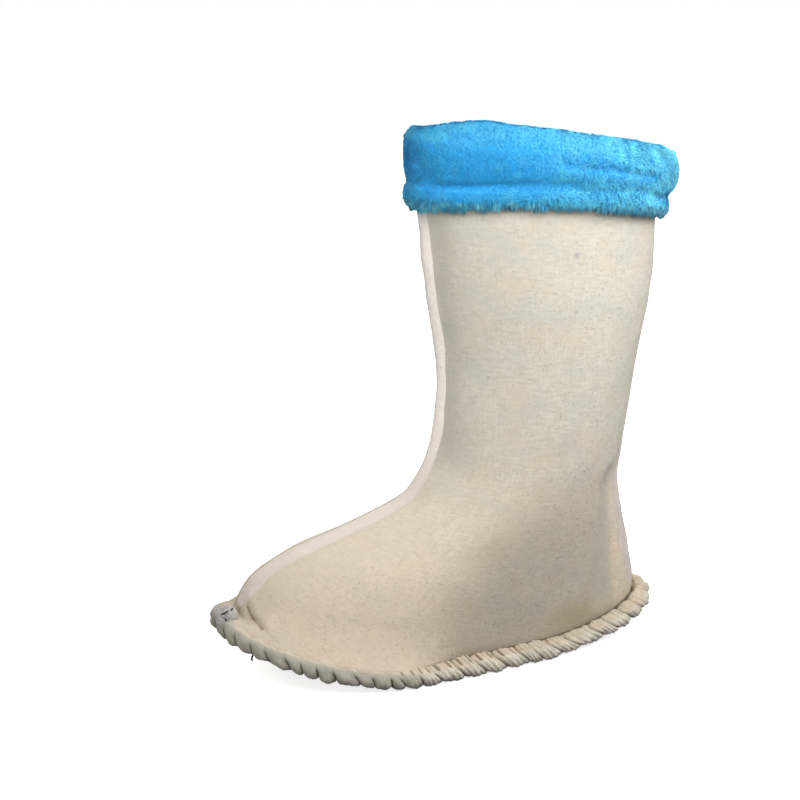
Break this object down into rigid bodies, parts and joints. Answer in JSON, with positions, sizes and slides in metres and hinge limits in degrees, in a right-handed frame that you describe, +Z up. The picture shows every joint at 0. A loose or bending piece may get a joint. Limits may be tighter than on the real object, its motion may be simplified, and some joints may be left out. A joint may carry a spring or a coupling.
{
  "type": "felt winter boot liner",
  "caption": "Soft inner boot for a winter boot: hollow cream felt upper with raised seam bands, overcast felt sole and a blue plush lining turned down as a cuff.",
  "frame": {"origin": "on the floor under the middle of the flat part of the sole", "axes": "+X to the toe, +Y to the boot's left, the outer side, +Z up"},
  "size_m": [0.286, 0.1186, 0.3151],
  "materials": {
    "felt_cream": "napped felt",
    "felt_sole": "pressed felt",
    "felt_edge": "overcast felt and thick thread",
    "felt_seam": "fuzzy brushed seam",
    "plush_blue": "short dense pile"
  },
  "bodies": {
    "root": {"outsole": "felt_sole", "insole": "plush_blue", "upper": "felt_cream", "edge_roll": "felt_edge", "front_seam_band": "felt_seam", "back_seam_band": "felt_seam", "cuff": "plush_blue"}
  },
  "joints": []
}
